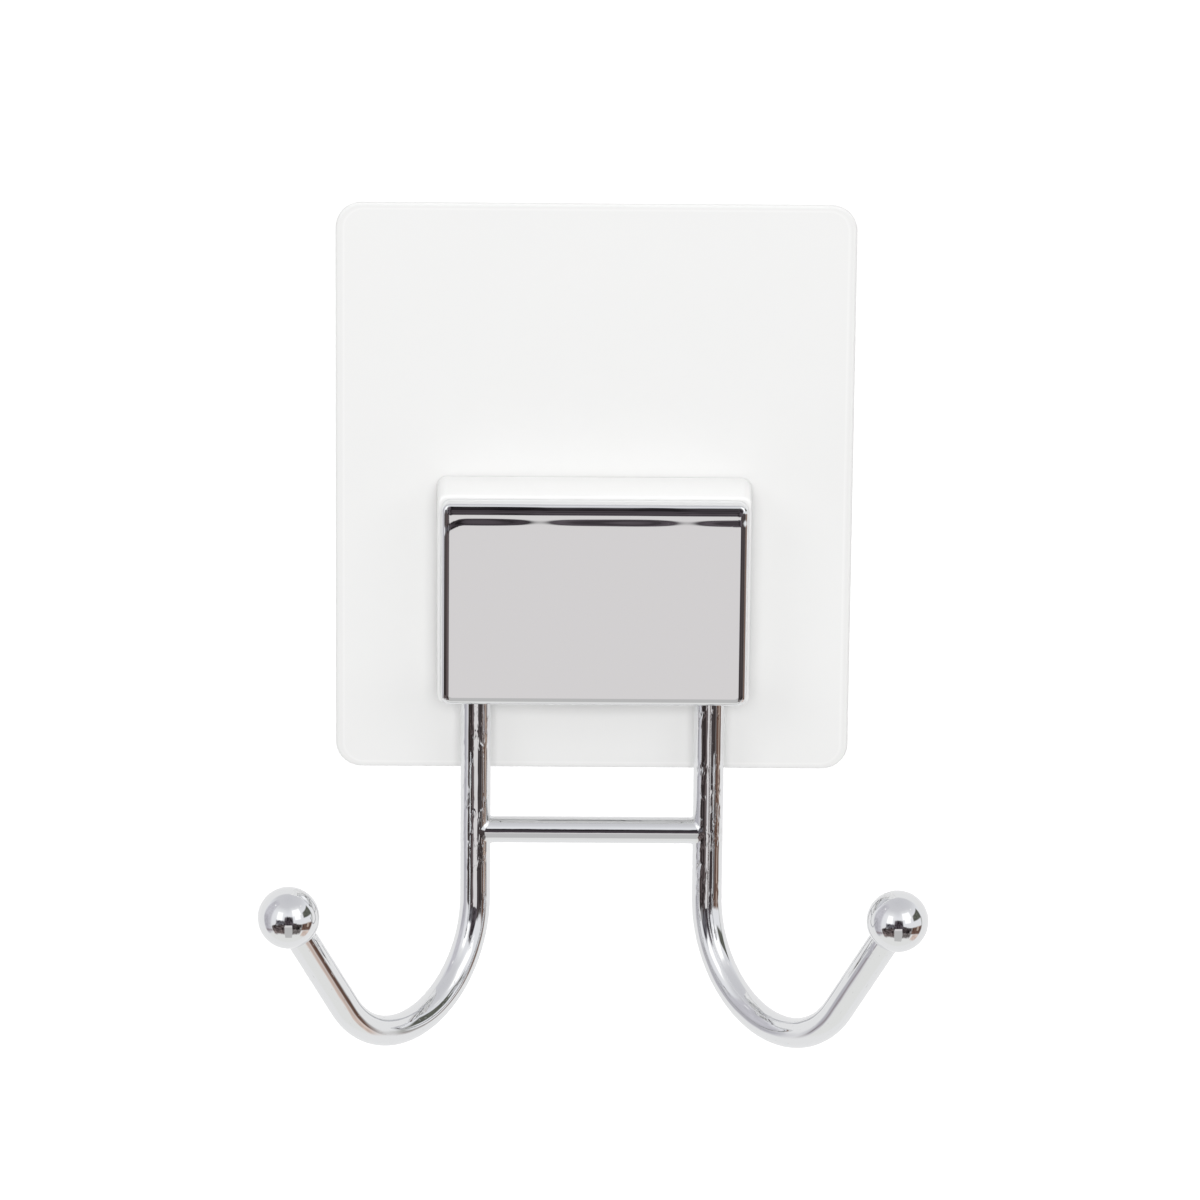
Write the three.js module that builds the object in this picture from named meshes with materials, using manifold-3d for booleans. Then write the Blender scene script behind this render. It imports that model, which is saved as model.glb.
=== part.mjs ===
// Stick-on wall plate with a lift-off double hook.
// Millimetres. Every piece is drawn in wall coordinates: x to the right, y up, z straight out of the wall.
// The origin is the centre of the adhesive face that meets the wall.
import * as THREE from 'three';
import { mergeVertices } from 'three/addons/utils/BufferGeometryUtils.js';
import Module from 'manifold-3d';

const wasm = await Module();
wasm.setup();

// Clearances between separate pieces
const seatGap = 0.15;
const slideGap = 0.3;
const wireGap = 0.3;

// Adhesive pad and back plate
const plateWidth = 85.5;
const plateHeight = 96;
const plateThickness = 1.2;
const plateCorner = 4.25;
const plateEdgeRound = 0.5;
const padThickness = 0.8;
const padInsetSide = 1;
const padInsetEnd = 0.6;

// Hanger rail moulded on the plate
const railNeckWidth = 11;
const railHeadWidth = 17;
const railHeadThickness = 1.8;
const railLength = 21;
const railChamfer = 2;
const railTopDrop = 8.5;

// White housing
const housingWidth = 52;
const housingHeight = 36;
const housingDepth = 12;
const housingTop = 2.2;
const housingWall = 3;
const housingCorner = 1.7;
const housingEdgeRound = 0.5;
const draftAngle = THREE.MathUtils.degToRad(1.7);
const slotLip = 1.5;
const coreDepth = 2.2;
const coreWall = 1.6;
const coreCorner = 1.5;
const spigotHeight = 1.5;

// Chrome cover
const coverDepth = 3.4;
const coverWall = 1.2;
const coverFace = 1.6;
const coverFillet = 0.8;
const coverRoll = 4;
const coverRollAngle = THREE.MathUtils.degToRad(18);
const coverCorner = 1.5;
const saddleSide = 1.1;
const saddleThickness = 1.6;
const saddleDrop = 15;
const tonguePlay = 0.3;

// Screws that hold the cover to the housing
const screwSpacing = 25;
const screwDrop = 24.5;
const screwHeadRadius = 2.6;
const screwHeadHeight = 1.8;
const screwCoreRadius = 1.1;
const screwLength = 9.5;
const screwPoint = 1.5;
const screwCrown = 0.55;
const screwShoulder = 1.25;
const screwFace = 1.5;
const screwBrow = 2.4;
const screwSink = 2.9;
const bossRadius = 3.2;
const bossReserve = 0.8;

// Wire hooks
const wireRadius = 2.5;
const wireSetback = 6.7;
const legSpacing = 38.7;
const legLength = 34.55;
const tailDrop = 7;
const tailBend = 5;
const tailLength = 3.4;
const hookBend = 18.4;
const hookSplay = THREE.MathUtils.degToRad(50.5);
const armTilt = THREE.MathUtils.degToRad(36.5);
const armLength = 23;
const ballRadius = 5;
const ballSocketStop = 1;
const crossBarRadius = 2.2;
const crossBarDrop = 22.9;

// Smoothness of the round forms
const cornerSteps = 6;
const filletSteps = 5;
const wireSides = 16;
const wireSteps = 88;
const roomSteps = 22;
const boreSides = 24;
const ballSides = 32;
const ballRows = 20;
const sharpCorner = 0.05;
const overcut = 1;

// Planes and places that follow from the sizes
const plateBack = padThickness + seatGap;
const plateFront = plateBack + plateThickness;
const housingBack = plateFront + slideGap;
const housingFront = housingBack + housingDepth;
const housingBottom = housingTop - housingHeight;
const housingMiddle = housingTop - housingHeight / 2;
const frontInset = housingDepth * Math.tan(draftAngle) + housingEdgeRound;
const coverWidth = housingWidth - 2 * frontInset;
const coverHeight = housingHeight - 2 * frontInset;
const coverBottom = housingMiddle - coverHeight / 2;
const coverBack = housingFront + seatGap;
const coverFront = coverBack + coverDepth;
const coverInside = coverFront - coverFace;
const wireAxis = housingBack + wireSetback;
const railTop = housingTop - railTopDrop;
const railUnderside = housingBack + slotLip + slideGap;
const screwHeight = housingTop - screwDrop;
const screwSeat = housingBack + screwSink;
const screwTip = screwSeat - seatGap + screwLength;

// Finishes
const chrome = new THREE.MeshStandardMaterial({ color: 0xdfe1e4, roughness: 0.05, metalness: 1 });
const whitePlastic = new THREE.MeshStandardMaterial({ color: 0xf5f5f3, roughness: 0.35, metalness: 0 });
const milkyPlastic = new THREE.MeshStandardMaterial({ color: 0xf0f0ee, roughness: 0.45, metalness: 0 });
const adhesive = new THREE.MeshStandardMaterial({ color: 0xe8e8e4, roughness: 0.7, metalness: 0 });
const zincSteel = new THREE.MeshStandardMaterial({ color: 0xbfc3c8, roughness: 0.35, metalness: 1 });

// A circular arc in space from the direction u towards the direction v.
class Bend extends THREE.Curve {
  constructor(centre, u, v, radius, sweep) {
    super();
    Object.assign(this, { centre, u, v, radius, sweep });
  }

  getPoint(t, target = new THREE.Vector3()) {
    const angle = t * this.sweep;
    return target.copy(this.centre)
      .addScaledVector(this.u, this.radius * Math.cos(angle))
      .addScaledVector(this.v, this.radius * Math.sin(angle));
  }
}

// Solids for joining and cutting

function solid(geometry) {
  const bare = geometry.clone();
  bare.deleteAttribute('normal');
  bare.deleteAttribute('uv');
  const merged = mergeVertices(bare, 1e-4);
  const mesh = new wasm.Mesh({
    numProp: 3,
    vertProperties: new Float32Array(merged.attributes.position.array),
    triVerts: new Uint32Array(merged.index.array),
  });
  return new wasm.Manifold(mesh);
}

function geometryOf(manifold) {
  const mesh = manifold.getMesh();
  const geometry = new THREE.BufferGeometry();
  geometry.setAttribute('position', new THREE.BufferAttribute(mesh.vertProperties, 3));
  geometry.setIndex(new THREE.BufferAttribute(mesh.triVerts, 1));
  return geometry;
}

// One ring of a block: a rounded rectangle at distance z from the wall.
function ring(width, height, corner, middle, z) {
  const points = [];
  const radius = Math.max(corner, sharpCorner);
  for (let quarter = 0; quarter < 4; quarter += 1) {
    const right = quarter === 0 || quarter === 3 ? 1 : -1;
    const top = quarter < 2 ? 1 : -1;
    for (let step = 0; step <= cornerSteps; step += 1) {
      const angle = (quarter + step / cornerSteps) * Math.PI / 2;
      points.push(new THREE.Vector3(
        right * (width / 2 - radius) + radius * Math.cos(angle),
        middle.y + top * (height / 2 - radius) + radius * Math.sin(angle),
        z,
      ));
    }
  }
  points.forEach((point) => { point.x += middle.x; });
  return points;
}

// Skin over a stack of rings with the same number of points, closed at both ends.
function loft(rings) {
  const count = rings[0].length;
  const index = [];
  for (let row = 0; row + 1 < rings.length; row += 1) {
    for (let i = 0; i < count; i += 1) {
      const a = row * count + i;
      const b = row * count + (i + 1) % count;
      index.push(a, b, b + count, a, b + count, a + count);
    }
  }
  const last = (rings.length - 1) * count;
  for (let i = 1; i + 1 < count; i += 1) {
    index.push(0, i + 1, i, last, last + i, last + i + 1);
  }
  const geometry = new THREE.BufferGeometry().setFromPoints(rings.flat());
  geometry.setIndex(index);
  return geometry;
}

// Rounded block between two distances from the wall, drawn in towards the front by the draft. Its front edge
// is rounded, and may roll into the flat face on a second, larger radius for the last part of the turn.
function block(sizes) {
  const { width, height, corner, middle, back, front } = sizes;
  const { draft = 0, round = 0, roll = 0, rollAngle = 0 } = sizes;
  const rings = [];
  const add = (inset, z) => {
    rings.push(ring(width - 2 * inset, height - 2 * inset, corner - inset, middle, z));
  };
  const turn = Math.PI / 2 - rollAngle;
  const roundInset = round * (1 - Math.cos(turn));
  const rise = front - back - round * Math.sin(turn) - roll * (1 - Math.cos(rollAngle));
  const slope = rise * Math.tan(draft);
  add(0, back);
  add(slope, back + rise);
  for (let step = 1; round > 0 && step <= filletSteps; step += 1) {
    const angle = step / filletSteps * turn;
    add(slope + round * (1 - Math.cos(angle)), back + rise + round * Math.sin(angle));
  }
  for (let step = 1; roll > 0 && step <= filletSteps; step += 1) {
    const angle = (1 - step / filletSteps) * rollAngle;
    const inset = roll * (Math.sin(rollAngle) - Math.sin(angle));
    add(slope + roundInset + inset, front - roll * (1 - Math.cos(angle)));
  }
  return loft(rings);
}

// Upright bar with chamfered upper corners, used for the rail and for the slot around it.
function tongue(width, top, bottom, chamfer, back, front) {
  const half = width / 2;
  const outline = new THREE.Shape([
    new THREE.Vector2(-half, bottom),
    new THREE.Vector2(half, bottom),
    new THREE.Vector2(half, top - chamfer),
    new THREE.Vector2(half - chamfer, top),
    new THREE.Vector2(-half + chamfer, top),
    new THREE.Vector2(-half, top - chamfer),
  ]);
  const bar = new THREE.ExtrudeGeometry(outline, { depth: front - back, bevelEnabled: false });
  return bar.translate(0, 0, back);
}

// Round rod along z whose flats lie no closer to the axis than the radius.
function rod(radius, x, y, back, front) {
  const reach = radius / Math.cos(Math.PI / boreSides);
  const cylinder = new THREE.CylinderGeometry(reach, reach, front - back, boreSides);
  return cylinder.rotateX(Math.PI / 2).translate(x, y, (back + front) / 2);
}

// Square bar between two corners.
function bar(low, high) {
  const size = new THREE.Vector3().subVectors(high, low);
  const centre = new THREE.Vector3().addVectors(low, high).multiplyScalar(0.5);
  return new THREE.BoxGeometry(size.x, size.y, size.z).translate(centre.x, centre.y, centre.z);
}

// Wire hooks

// Directions and corner points of one wire; side is -1 for the left wire and 1 for the right one.
function wirePlan(side) {
  const up = new THREE.Vector3(0, 1, 0);
  const down = new THREE.Vector3(0, -1, 0);
  const outward = new THREE.Vector3(side, 0, 0);
  const sweep = Math.PI - armTilt;
  const splayed = new THREE.Vector3(side * Math.cos(hookSplay), 0, Math.sin(hookSplay));
  const arm = splayed.clone().multiplyScalar(Math.sin(sweep)).addScaledVector(down, Math.cos(sweep));
  const legX = side * legSpacing / 2;
  const tailCentre = new THREE.Vector3(
    legX - side * tailBend,
    housingTop - tailDrop - tailBend,
    wireAxis,
  );
  const legTop = new THREE.Vector3(legX, tailCentre.y, wireAxis);
  const legEnd = new THREE.Vector3(legX, housingBottom - legLength, wireAxis);
  const hookCentre = legEnd.clone().addScaledVector(splayed, hookBend);
  const tailBendUp = new Bend(tailCentre, up, outward, tailBend, Math.PI / 2);
  const hookBendDown = new Bend(hookCentre, splayed.clone().negate(), down, hookBend, sweep);
  const ball = hookBendDown.getPoint(1).addScaledVector(arm, armLength);
  return { side, outward, arm, legTop, legEnd, tailBendUp, hookBendDown, ball };
}

// Round bar of the given radius along joined curves.
function sweepRound(radius, sides, steps, curves) {
  const path = new THREE.CurvePath();
  curves.forEach((curve) => path.add(curve));
  const circle = new THREE.Shape();
  circle.setFromPoints(Array.from({ length: sides }, (unused, i) => {
    const angle = 2 * Math.PI * i / sides;
    return new THREE.Vector2(radius * Math.cos(angle), radius * Math.sin(angle));
  }));
  return new THREE.ExtrudeGeometry(circle, { steps, bevelEnabled: false, extrudePath: path });
}

function tailLine(plan, extra) {
  const inner = plan.tailBendUp.getPoint(0);
  const end = inner.clone().addScaledVector(plan.outward, -tailLength - extra);
  return new THREE.LineCurve3(end, inner);
}

function hookWire(plan) {
  const armStart = plan.hookBendDown.getPoint(1);
  const armEnd = plan.ball.clone().addScaledVector(plan.arm, -ballSocketStop);
  return sweepRound(wireRadius, wireSides, wireSteps, [
    tailLine(plan, 0),
    plan.tailBendUp,
    new THREE.LineCurve3(plan.legTop, plan.legEnd),
    plan.hookBendDown,
    new THREE.LineCurve3(armStart, armEnd),
  ]);
}

// Room that the housing and the cover leave around the tail and the leg of one wire.
function wireRoom(plan) {
  const reach = (wireRadius + wireGap) / Math.cos(Math.PI / boreSides);
  const below = new THREE.Vector3(plan.legTop.x, housingBottom - 2 * overcut, wireAxis);
  return solid(sweepRound(reach, boreSides, roomSteps, [
    tailLine(plan, wireGap),
    plan.tailBendUp,
    new THREE.LineCurve3(plan.legTop, below),
  ]));
}

function ball(plan) {
  const sphere = new THREE.SphereGeometry(ballRadius, ballSides, ballRows);
  sphere.translate(plan.ball.x, plan.ball.y, plan.ball.z);
  const reach = (wireRadius + seatGap) / Math.cos(Math.PI / boreSides);
  const socket = sweepRound(reach, boreSides, 1, [new THREE.LineCurve3(
    plan.ball.clone().addScaledVector(plan.arm, -ballRadius - overcut),
    plan.ball.clone().addScaledVector(plan.arm, seatGap - ballSocketStop),
  )]);
  return geometryOf(solid(sphere).subtract(solid(socket)));
}

// Rod between the legs, with its ends hollowed to meet their round sides.
function crossBar(plans) {
  const height = housingBottom - crossBarDrop;
  const across = plans.map((plan) => new THREE.Vector3(plan.legTop.x, height, wireAxis));
  let rodSolid = solid(sweepRound(crossBarRadius, boreSides, 1, [new THREE.LineCurve3(...across)]));
  const reach = (wireRadius + seatGap) / Math.cos(Math.PI / boreSides);
  for (const middle of across) {
    const leg = new THREE.CylinderGeometry(reach, reach, 2 * (crossBarRadius + overcut), boreSides);
    rodSolid = rodSolid.subtract(solid(leg.translate(middle.x, middle.y, middle.z)));
  }
  return geometryOf(rodSolid);
}

// Wall side

function adhesivePad() {
  return block({
    width: plateWidth - 2 * padInsetSide,
    height: plateHeight - 2 * padInsetEnd,
    corner: plateCorner - padInsetEnd,
    middle: new THREE.Vector2(0, 0),
    back: 0,
    front: padThickness,
  });
}

function backPlate() {
  const plate = solid(block({
    width: plateWidth,
    height: plateHeight,
    corner: plateCorner,
    middle: new THREE.Vector2(0, 0),
    back: plateBack,
    front: plateFront,
    round: plateEdgeRound,
  }));
  const root = (plateBack + plateFront) / 2;
  const railEnd = railTop - railLength;
  const headFront = railUnderside + railHeadThickness;
  const neckTop = railTop - railChamfer;
  const neck = solid(tongue(railNeckWidth, neckTop, railEnd, railChamfer, root, headFront));
  const head = solid(tongue(railHeadWidth, railTop, railEnd, railChamfer, railUnderside, headFront));
  return geometryOf(plate.add(neck).add(head));
}

// Hook unit

function screwPlaces() {
  return [-1, 1].map((side) => ({ x: side * screwSpacing / 2, y: screwHeight }));
}

function housing(plans) {
  const middle = new THREE.Vector2(0, housingMiddle);
  let body = solid(block({
    width: housingWidth,
    height: housingHeight,
    corner: housingCorner,
    middle,
    back: housingBack,
    front: housingFront,
    draft: draftAngle,
    round: housingEdgeRound,
  }));
  const spigotInset = coverWall + seatGap;
  body = body.add(solid(block({
    width: coverWidth - 2 * spigotInset,
    height: coverHeight - 2 * spigotInset,
    corner: coverCorner - coverWall,
    middle,
    back: wireAxis,
    front: housingFront + spigotHeight,
  })));
  body = body.subtract(solid(block({
    width: housingWidth - 2 * housingWall,
    height: housingHeight - 2 * housingWall,
    corner: coreCorner,
    middle,
    back: wireAxis,
    front: housingFront + spigotHeight + overcut,
  })));
  for (const plan of plans) {
    body = body.subtract(wireRoom(plan));
    const notch = wireRadius + wireGap + saddleSide + seatGap;
    body = body.subtract(solid(bar(
      new THREE.Vector3(plan.legTop.x - notch, housingBottom - overcut, wireAxis),
      new THREE.Vector3(plan.legTop.x + notch, housingBottom + housingWall + overcut, coverFront),
    )));
  }
  body = body.subtract(railSlot());
  for (const place of screwPlaces()) {
    const side = Math.sign(place.x);
    body = body.subtract(corePocket(side, place));
    const head = rod(screwHeadRadius + seatGap, place.x, place.y, housingBack - overcut, screwSeat);
    const hole = rod(screwCoreRadius + seatGap, place.x, place.y, housingBack, wireAxis + overcut);
    body = body.subtract(solid(head)).subtract(solid(hole));
  }
  return geometryOf(body);
}

// Slot that slides down over the rail; it is open at the bottom and closed above the rail.
function railSlot() {
  const outside = housingBottom - overcut;
  const roof = railTop + seatGap;
  const lipFront = housingBack + slotLip;
  const headFront = railUnderside + railHeadThickness + slideGap;
  const neckWidth = railNeckWidth + 2 * slideGap;
  const headWidth = railHeadWidth + 2 * slideGap;
  const neck = tongue(neckWidth, roof, outside, railChamfer, housingBack - overcut, headFront);
  const head = tongue(headWidth, roof, outside, railChamfer, lipFront, headFront);
  return solid(neck).add(solid(head));
}

// Hollow in the back of the housing between the slot and the outer wall, around the screw's boss.
function corePocket(side, place) {
  const inner = railHeadWidth / 2 + slideGap + coreWall;
  const outer = housingWidth / 2 - housingWall;
  const pocket = solid(block({
    width: outer - inner,
    height: housingHeight - 2 * housingWall,
    corner: coreCorner,
    middle: new THREE.Vector2(side * (inner + outer) / 2, housingMiddle),
    back: housingBack - overcut,
    front: housingBack + coreDepth,
  }));
  const bossSize = screwHeadRadius + seatGap + coreWall;
  const boss = rod(bossSize, place.x, place.y, housingBack - 2 * overcut, screwSeat + overcut);
  return pocket.subtract(solid(boss));
}

function chromeCover(plans) {
  const middle = new THREE.Vector2(0, housingMiddle);
  let shell = solid(block({
    width: coverWidth,
    height: coverHeight,
    corner: coverCorner,
    middle,
    back: coverBack,
    front: coverFront,
    draft: draftAngle,
    round: coverFillet,
    roll: coverRoll,
    rollAngle: coverRollAngle,
  }));
  shell = shell.subtract(solid(block({
    width: coverWidth - 2 * coverWall,
    height: coverHeight - 2 * coverWall,
    corner: coverCorner - coverWall,
    middle,
    back: coverBack - overcut,
    front: coverInside,
  })));
  for (const plan of plans) {
    shell = shell.add(saddles(plan)).subtract(wireRoom(plan));
  }
  for (const place of screwPlaces()) {
    const bossBack = wireAxis + seatGap;
    shell = shell.add(solid(rod(bossRadius, place.x, place.y, bossBack, coverInside + coverFace / 2)));
    const pilotEnd = screwTip + bossReserve;
    const pilot = rod(screwCoreRadius + seatGap, place.x, place.y, bossBack - overcut, pilotEnd);
    shell = shell.subtract(solid(pilot));
  }
  return geometryOf(shell);
}

// Two rests that close over the front of one leg: a tongue that fills the notch where the wire leaves the
// housing, and a rib further up.
function saddles(plan) {
  const half = wireRadius + wireGap + saddleSide;
  const back = wireAxis + seatGap;
  const ribTop = housingTop - saddleDrop;
  const lower = solid(bar(
    new THREE.Vector3(plan.legTop.x - half, coverBottom + tonguePlay, back),
    new THREE.Vector3(plan.legTop.x + half, coverBottom + coverWall, coverInside + coverFace / 2),
  ));
  const upper = solid(bar(
    new THREE.Vector3(plan.legTop.x - wireRadius, ribTop - saddleThickness, back),
    new THREE.Vector3(plan.legTop.x + wireRadius, ribTop, coverInside + coverFace / 2),
  ));
  return lower.add(upper);
}

function screw(place) {
  const under = screwHeadHeight;
  const profile = [
    new THREE.Vector2(0, 0),
    new THREE.Vector2(screwFace, 0),
    new THREE.Vector2(screwBrow, screwCrown),
    new THREE.Vector2(screwHeadRadius, screwShoulder),
    new THREE.Vector2(screwHeadRadius, under),
    new THREE.Vector2(screwCoreRadius, under),
    new THREE.Vector2(screwCoreRadius, under + screwLength - screwPoint),
    new THREE.Vector2(0, under + screwLength),
  ];
  const turned = new THREE.LatheGeometry(profile, boreSides);
  return turned.rotateX(Math.PI / 2).translate(place.x, place.y, screwSeat - seatGap - under);
}

// Assembly: wall coordinates turned so that z points to the front of the object and y points up.
const wall = new THREE.Group();
wall.rotation.x = Math.PI / 2;

function place(name, geometry, material) {
  const mesh = new THREE.Mesh(geometry, material);
  mesh.name = name;
  wall.add(mesh);
}

const plans = [-1, 1].map(wirePlan);

place('adhesive_pad', adhesivePad(), adhesive);
place('back_plate', backPlate(), milkyPlastic);
place('housing', housing(plans), whitePlastic);
place('chrome_cover', chromeCover(plans), chrome);
place('cross_bar', crossBar(plans), chrome);
plans.forEach((plan, i) => {
  const name = ['left', 'right'][i];
  place(`${name}_hook`, hookWire(plan), chrome);
  place(`${name}_ball`, ball(plan), chrome);
  place(`${name}_screw`, screw(screwPlaces()[i]), zincSteel);
});

const adhesiveDoubleHook = new THREE.Group();
adhesiveDoubleHook.add(wall);

export default adhesiveDoubleHook;
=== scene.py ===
import math

import bmesh
import bpy
from mathutils import Matrix, Vector


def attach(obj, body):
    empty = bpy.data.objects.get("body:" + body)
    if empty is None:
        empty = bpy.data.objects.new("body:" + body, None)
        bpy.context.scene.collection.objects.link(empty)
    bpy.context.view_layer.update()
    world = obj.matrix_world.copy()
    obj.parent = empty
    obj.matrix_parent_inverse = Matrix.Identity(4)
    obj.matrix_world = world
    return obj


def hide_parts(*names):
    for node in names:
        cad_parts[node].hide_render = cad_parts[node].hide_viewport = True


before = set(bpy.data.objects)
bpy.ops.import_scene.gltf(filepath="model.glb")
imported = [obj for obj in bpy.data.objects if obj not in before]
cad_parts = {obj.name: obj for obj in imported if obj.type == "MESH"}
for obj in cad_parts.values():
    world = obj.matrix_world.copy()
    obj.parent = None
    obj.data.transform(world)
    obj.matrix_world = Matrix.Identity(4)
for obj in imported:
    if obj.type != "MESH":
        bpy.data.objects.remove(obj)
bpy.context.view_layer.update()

# Hook wires: two 5 mm steel rods, bent cold into a J that splays forward from the wall, then polished and
# bright chrome plated. Short inward tails at the top lie in the housing, so the wires can't pull out.
MM = 0.001
HOUSING_TOP = 2.2
HOUSING_BOTTOM = -33.8
WIRE_RADIUS = 2.5
WIRE_OUT = 9.15
WIRE_SIDES = 72
LEG_X = 19.35
LEG_END = -68.35
TAIL_DROP = 7.0
TAIL_BEND = 5.0
TAIL_LENGTH = 3.4
HOOK_BEND = 18.4
HOOK_SPLAY = math.radians(50.5)
HOOK_SWEEP = math.radians(143.5)
ARM_LENGTH = 23.0
BALL_STOP = 1.0
BEND_STEP = math.radians(1)
LEG_STEPS = 30
ARM_STEPS = 14
SHARP_EDGE = math.radians(35)
DRAWN_STRETCH = 0.22
# Heights in metres between which the dents of the legs begin.
WORN_STEP = (-0.072, -0.064)
CHROME = (0.80, 0.805, 0.815, 1)
PIT_TONE = (0.62, 0.61, 0.61, 1)


class Tone:
    """A value on a node bench that takes part in Python sums."""

    def __init__(self, bench, socket):
        self.bench = bench
        self.socket = socket

    def __add__(self, other):
        return self.bench.math("ADD", self, other)

    def __radd__(self, other):
        return self.bench.math("ADD", other, self)

    def __sub__(self, other):
        return self.bench.math("SUBTRACT", self, other)

    def __rsub__(self, other):
        return self.bench.math("SUBTRACT", other, self)

    def __mul__(self, other):
        return self.bench.math("MULTIPLY", self, other)

    def __rmul__(self, other):
        return self.bench.math("MULTIPLY", other, self)

    def __truediv__(self, other):
        return self.bench.math("DIVIDE", self, other)

    def __neg__(self):
        return self.bench.math("MULTIPLY", self, -1)

    def rise(self, low, high):
        """0 below low, 1 above high, and a smooth step between them."""
        inputs = {"Value": self, "From Min": low, "From Max": high}
        return self.bench.node("ShaderNodeMapRange", {"interpolation_type": "SMOOTHSTEP"}, inputs)


class Bench:
    """The nodes of one finish, of one shape rule or of the studio's light."""

    def __init__(self, tree):
        self.tree = tree
        tree.nodes.clear()

    def node(self, kind, settings, inputs, output=0):
        """Adds a node, and gives the output asked for, or several outputs for a tuple of them."""
        made = self.tree.nodes.new(kind)
        for name, value in settings.items():
            if name == "stops":
                self.set_stops(made.color_ramp, value)
            else:
                setattr(made, name, value)
        for key, value in inputs.items():
            if isinstance(value, Tone):
                self.tree.links.new(value.socket, made.inputs[key])
            else:
                made.inputs[key].default_value = value
        if isinstance(output, tuple):
            return [Tone(self, made.outputs[key]) for key in output]
        return Tone(self, made.outputs[output]) if len(made.outputs) else None

    def set_stops(self, ramp, stops):
        while len(ramp.elements) < len(stops):
            ramp.elements.new(1)
        for element, (position, colour) in zip(ramp.elements, stops):
            element.position = position
            element.color = colour

    def math(self, operation, *values):
        return self.node("ShaderNodeMath", {"operation": operation}, dict(enumerate(values)))

    def blend(self, share, first, second):
        """A colour between two colours."""
        return self.node("ShaderNodeMix", {"data_type": "RGBA"}, {0: share, 6: first, 7: second}, 2)

    def noise(self, vector, scale, detail, roughness=0.5):
        """Soft noise: its waves per metre, its layers of finer waves, and how strong those are."""
        inputs = {"Vector": vector, "Scale": scale, "Detail": detail, "Roughness": roughness}
        return self.node("ShaderNodeTexNoise", {}, inputs, "Fac")

    def object_place(self):
        return self.node("ShaderNodeTexCoord", {}, {}, "Object")

    def parts(self, vector):
        return self.node("ShaderNodeSeparateXYZ", {}, {0: vector}, (0, 1, 2))

    def bump(self, height, distance, strength):
        """Fine relief: a height, the depth in metres that it stands for, and how much of it shows."""
        inputs = {"Height": height, "Distance": distance, "Strength": strength}
        return self.node("ShaderNodeBump", {}, inputs)

    def surface(self, inputs):
        shader = self.node("ShaderNodeBsdfPrincipled", {}, inputs)
        self.node("ShaderNodeOutputMaterial", {}, {"Surface": shader})


def new_finish(name):
    material = bpy.data.materials.new(name)
    material.use_nodes = True
    return material, Bench(material.node_tree)


def wire_chrome():
    """Bright plating on drawn wire: drawing lines along the wire, a few pits, and dents on the legs."""
    material, bench = new_finish("chrome_on_drawn_wire")
    along = bench.node("ShaderNodeAttribute", {"attribute_name": "along"}, {}, "Fac")
    around = bench.node("ShaderNodeAttribute", {"attribute_name": "around"}, {}, "Fac") * (2 * math.pi)
    drawn = bench.node("ShaderNodeCombineXYZ", {}, {
        0: bench.math("COSINE", around) * (WIRE_RADIUS * MM),
        1: bench.math("SINE", around) * (WIRE_RADIUS * MM),
        2: along * DRAWN_STRETCH,
    })
    ripple = bench.noise(drawn, 420, 2)
    spot = bench.object_place()
    cloud = bench.noise(spot, 160, 3)
    legs = bench.parts(spot)[2].rise(*WORN_STEP)
    crinkle = bench.noise(drawn, 1200, 2).rise(0.5, 0.66) * cloud.rise(0.44, 0.56) * legs
    sway = bench.noise(spot, 48, 1)
    pits = bench.noise(drawn, 2600, 3, 0.6).rise(0.66, 0.74)
    bench.surface({
        "Base Color": bench.blend(pits * 0.5, CHROME, PIT_TONE),
        "Metallic": 1.0,
        "Roughness": 0.022 + cloud * 0.03 + pits * 0.16,
        "Normal": bench.bump(ripple + sway * 3.0 + crinkle * 0.5 - pits * 0.1, 0.00012, 0.55),
    })
    return material


def place(x, up, out):
    """A point in metres from millimetres to the right, up, and straight out of the wall."""
    return Vector((x * MM, -out * MM, up * MM))


def hook_line(side):
    """Centre line of one wire from its tail in the housing to its end in the ball, with the ball's centre
    and the direction of the arm. Side is -1 for the left wire and 1 for the right one."""
    tail_up = HOUSING_TOP - TAIL_DROP
    centre = Vector((side * (LEG_X - TAIL_BEND), tail_up - TAIL_BEND, WIRE_OUT))
    points = [Vector((centre.x - side * TAIL_LENGTH, tail_up, WIRE_OUT))]
    steps = round(math.pi / 2 / BEND_STEP)
    for step in range(steps + 1):
        angle = step * BEND_STEP
        points.append(centre + TAIL_BEND * Vector((side * math.sin(angle), math.cos(angle), 0)))
    top = points[-1]
    bottom = Vector((top.x, LEG_END, WIRE_OUT))
    points += [top.lerp(bottom, step / LEG_STEPS) for step in range(1, LEG_STEPS)]
    forward = Vector((side * math.cos(HOOK_SPLAY), 0, math.sin(HOOK_SPLAY)))
    down = Vector((0, -1, 0))
    middle = bottom + HOOK_BEND * forward
    steps = round(HOOK_SWEEP / BEND_STEP)
    for step in range(steps + 1):
        angle = step / steps * HOOK_SWEEP
        points.append(middle - HOOK_BEND * (math.cos(angle) * forward - math.sin(angle) * down))
    arm = math.sin(HOOK_SWEEP) * forward + math.cos(HOOK_SWEEP) * down
    start = points[-1]
    ball = start + ARM_LENGTH * arm
    reach = ARM_LENGTH - BALL_STOP
    points += [start + arm * (reach * step / ARM_STEPS) for step in range(1, ARM_STEPS + 1)]
    return points, ball, arm


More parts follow.
